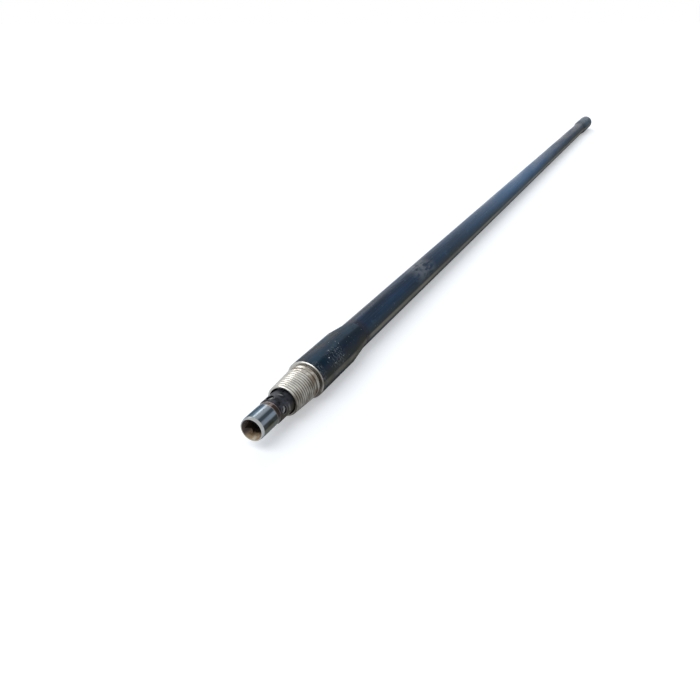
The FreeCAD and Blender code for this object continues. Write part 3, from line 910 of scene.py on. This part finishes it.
# Drive socket: bevelled rim, cone and hexagon
socket = {
    "outline": [(-144.7, 15.7), (-144.7, 17.1), (-140.2, 18), (-107.4, 18), (-107.4, 17.8), (-103, 15.3),
                (-103, 12.9), (-130.7, 12.9)],
    "softEdge": 0.12,
    "hexAcross": 25.8,
    "hexStart": -146,
    "hexEnd": -104.7,
    "cornerRound": 0.8,
    "cornerSegments": 4,
    "longEdge": 0.9,  # share of its length that tells a corner from the ends
    "mouthRadius": 15.72,
    "facingIn": 0.5,
    "coneTilt": 0.1,
    "sharpAngle": math.radians(24),
    "segments": 128,
}


# A closed hexagon bar along the rod, its corners eased
def makeHexagon():
    bm = bmesh.new()
    bmesh.ops.create_circle(bm, cap_ends=True, segments=6, radius=socket["hexAcross"] / math.sqrt(3) * mm)
    turned = Matrix.Rotation(rod["driveTurn"], 4, "X") @ Matrix.Rotation(math.radians(90), 4, "Y")
    moved = Matrix.Translation((socket["hexStart"] * mm, 0, 0))
    bmesh.ops.transform(bm, matrix=moved @ turned, verts=bm.verts)
    grown = bmesh.ops.extrude_face_region(bm, geom=bm.faces[:], use_keep_orig=True)
    verts = [item for item in grown["geom"] if isinstance(item, bmesh.types.BMVert)]
    length = (socket["hexEnd"] - socket["hexStart"]) * mm
    bmesh.ops.translate(bm, verts=verts, vec=(length, 0, 0))
    corners = [edge for edge in bm.edges if edge.calc_length() > socket["longEdge"] * length]
    bmesh.ops.bevel(bm, geom=corners, offset=socket["cornerRound"] * mm, segments=socket["cornerSegments"],
                    profile=0.5, affect="EDGES", material=-1)
    return bm


# The nose is bright outside, and cone and flats inside the mouth have metals of their own
def makeSocket():
    bm = bmesh.new()
    outline = socket["outline"]
    turnOutline(bm, softened(outline + outline[:1], socket["softEdge"]), socket["segments"])
    bm = cutAway(bm, makeHexagon())
    piece = finishPiece(bm, "drive_socket_detail", "drive_rod", "drive_socket",
                        [noseSteel, leadSteel, flatSteel], socket["sharpAngle"])
    for polygon in piece.data.polygons:
        center, normal = polygon.center, polygon.normal
        radius = radiusOf(center)
        inward = normal.y * center.y + normal.z * center.z < -socket["facingIn"] * radius * mm
        onCone = abs(normal.x) > socket["coneTilt"]
        if inward and radius < socket["mouthRadius"]:
            polygon.material_index = 1 if onCone else 2
        else:
            polygon.material_index = 0


makeSocket()

# Weld seam, turned down a little below the nose, with a low line along each edge
seam = {
    "outline": [(-107.4, 17.8), (-106.8, 17.86), (-106.2, 17.8), (-99.8, 17.8), (-99.2, 17.86), (-98.6, 17.8),
                (-103, 15.3)],
    "sharpAngle": math.radians(30),
    "segments": 128,
}


def makeSeam():
    bm = bmesh.new()
    turnOutline(bm, seam["outline"], seam["segments"], closed=True)
    finishPiece(bm, "weld_seam_detail", "drive_rod", "weld_seam", [seamSteel],
                seam["sharpAngle"])


makeSeam()

# Ported collar, with a low land near the pipe and four flushing ports whose mouths are eased
collar = {
    "outline": [(-103, 12.9), (-103, 15.3), (-98.6, 17.8), (-97.2, 19), (-79.3, 19), (-79.0, 19.12),
                (-75.8, 19.12), (-75.5, 19), (-36, 19), (-36, 14.33), (-81.3, 14.33), (-81.3, 12.9)],
    "softEdge": 0.15,
    "portRadius": 5.5,
    "portSegments": 64,
    "flareRadius": 11.2,
    "flareFrom": 18.2,
    "drillReach": 24,
    "sharpAngle": math.radians(24),
    "segments": 128,
}


# A drill right through both walls, wider where it leaves them
def makePortDrill(angle):
    bm = bmesh.new()
    end = collar["drillReach"]
    rows = [(0, -end), (collar["flareRadius"], -end), (collar["portRadius"], -collar["flareFrom"]),
            (collar["portRadius"], collar["flareFrom"]), (collar["flareRadius"], end), (0, end)]
    verts = [bm.verts.new((r * mm, 0, z * mm)) for r, z in rows]
    edges = [bm.edges.new(pair) for pair in zip(verts, verts[1:])]
    bmesh.ops.spin(bm, geom=verts + edges, cent=(0, 0, 0), axis=(0, 0, 1), angle=math.tau,
                   steps=collar["portSegments"], use_merge=True)
    mergeDoubles(bm)
    turned = Matrix.Translation((rod["portPlace"] * mm, 0, 0)) @ Matrix.Rotation(angle, 4, "X")
    bmesh.ops.transform(bm, matrix=turned, verts=bm.verts)
    return bm


def makeCollar():
    bm = bmesh.new()
    outline = collar["outline"]
    turnOutline(bm, softened(outline + outline[:1], collar["softEdge"]), collar["segments"])
    for angle in (0, math.radians(90)):
        bm = cutAway(bm, makePortDrill(rod["driveTurn"] + angle))
    finishPiece(bm, "ported_collar_detail", "drive_rod", "ported_collar", [collarSteel],
                collar["sharpAngle"])


makeCollar()

# Pieces that keep the shape of their solids, and their metals
keptNodes = {
    "inner_bar": "bar_steel",
    "hex_drive_end": "end_steel",
    "stop_collar": "bar_steel",
    "pin_centralizer": "bronze",
    "box_centralizer": "bronze",
    "pin_retaining_ring": "spring_steel",
    "box_retaining_ring": "spring_steel",
    "collar_spring_pin": "spring_steel",
    "shank_spring_pin": "spring_steel",
}
for nodeName, metalName in keptNodes.items():
    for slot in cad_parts[nodeName].material_slots:
        slot.material = innerMetals[metalName]
print("kept pieces dressed")

# Camera at the photograph's angle
view = {
    "place": Vector((-0.72043, -0.42126, 0.47574)),
    "target": Vector((0.1737, 0.0091, -0.031)),
    "roll": math.radians(-0.22),
    "lens": 32.94,
    "clipStart": 0.01,
}


def aimed(place, target, roll=0.0):
    turned = (target - place).to_track_quat("-Z", "Y").to_matrix().to_4x4()
    return Matrix.Translation(place) @ turned @ Matrix.Rotation(roll, 4, "Z")


def makeCamera():
    data = bpy.data.cameras.new("camera")
    data.lens = view["lens"]
    data.clip_start = view["clipStart"]
    camera = bpy.data.objects.new("camera", data)
    camera.matrix_world = aimed(view["place"], view["target"], view["roll"])
    bpy.context.scene.collection.objects.link(camera)
    bpy.context.scene.camera = camera


makeCamera()

# Studio: white floor and world, one soft sun from beyond the far end and one from above the pin
studio = {
    "white": (1, 1, 1, 1),
    "floorLevel": -0.0311,
    "floorSize": 400.0,
    "floorColor": (0.8, 0.8, 0.8, 1),
    "floorRough": 0.9,
    "floorGlow": 0.36,  # only as the camera and glossy surfaces see the floor
    "roomColor": (0.46, 0.5, 0.56, 1),
    "suns": [
        {"name": "key", "place": Vector((0.68, 0.56, 0.47)), "angle": 30, "strength": 0.7,
         "color": (1.0, 0.98, 0.95)},
        {"name": "fill", "place": Vector((-0.5, 0.25, 1.0)), "angle": 50, "strength": 1.3,
         "color": (0.95, 0.97, 1.0)},
    ],
}


# 1 for rays that should see a white surrounding
def seesWhite(tree):
    path = add(tree, "LightPath", {})
    shiny = larger(tree, path.outputs["Is Glossy Ray"], path.outputs["Is Transmission Ray"])
    return larger(tree, path.outputs["Is Camera Ray"], shiny)


def makeFloor():
    bm = bmesh.new()
    bmesh.ops.create_grid(bm, x_segments=1, y_segments=1, size=studio["floorSize"] / 2)
    bmesh.ops.translate(bm, verts=bm.verts, vec=(0, 0, studio["floorLevel"]))
    mesh = makeMesh(bm)
    floor = bpy.data.objects.new("floor", mesh)
    bpy.context.scene.collection.objects.link(floor)
    material, tree, shader = newMaterial("floor_white", metallic=0.0)
    shader.inputs["Base Color"].default_value = studio["floorColor"]
    shader.inputs["Roughness"].default_value = studio["floorRough"]
    shader.inputs["Emission Color"].default_value = studio["white"]
    glow = times(tree, seesWhite(tree), studio["floorGlow"])
    tree.links.new(glow, shader.inputs["Emission Strength"])
    mesh.materials.append(material)


def makeLight():
    for sun in studio["suns"]:
        data = bpy.data.lights.new(sun["name"], "SUN")
        data.angle = math.radians(sun["angle"])
        data.energy = sun["strength"]
        data.color = sun["color"]
        lamp = bpy.data.objects.new(sun["name"], data)
        lamp.matrix_world = aimed(sun["place"], Vector((0, 0, 0)))
        bpy.context.scene.collection.objects.link(lamp)
    world = bpy.data.worlds.new("studio")
    bpy.context.scene.world = world
    world.use_nodes = True
    tree = world.node_tree
    color = mix(tree, seesWhite(tree), studio["roomColor"], studio["white"])
    tree.links.new(color, tree.nodes["Background"].inputs["Color"])


makeFloor()
makeLight()
bpy.context.scene.view_settings.view_transform = "Standard"
print("studio ready")
